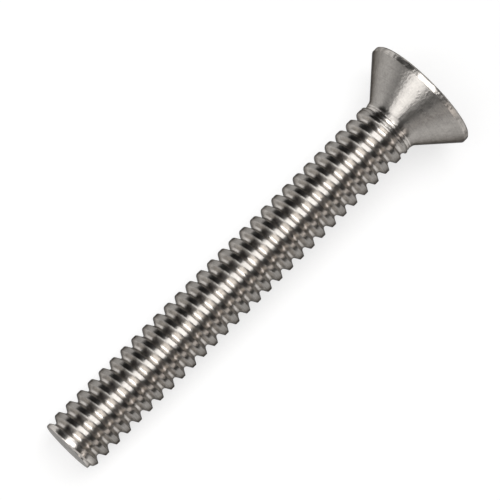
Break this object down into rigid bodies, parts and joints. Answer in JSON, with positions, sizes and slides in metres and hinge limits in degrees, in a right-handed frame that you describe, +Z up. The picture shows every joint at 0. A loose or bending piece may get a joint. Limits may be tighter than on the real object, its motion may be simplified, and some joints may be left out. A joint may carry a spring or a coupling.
{
  "type": "countersunk socket screw",
  "caption": "Stainless machine screw with a flat countersunk head, a hexagon socket and a coarse right-hand thread along its whole shank, lying on its side.",
  "frame": {"origin": "middle of the bounding box, at the level of the surface that the screw lies on", "axes": "+X along the screw towards its head, +Z up; the screw's axis rises 3.8 degrees towards the head"},
  "size_m": [0.0352, 0.0088, 0.0089],
  "materials": {
    "steel": "turned and rolled stainless steel, bright, with fine turning marks on the head"
  },
  "bodies": {
    "root": {"screw": "steel"}
  },
  "joints": []
}
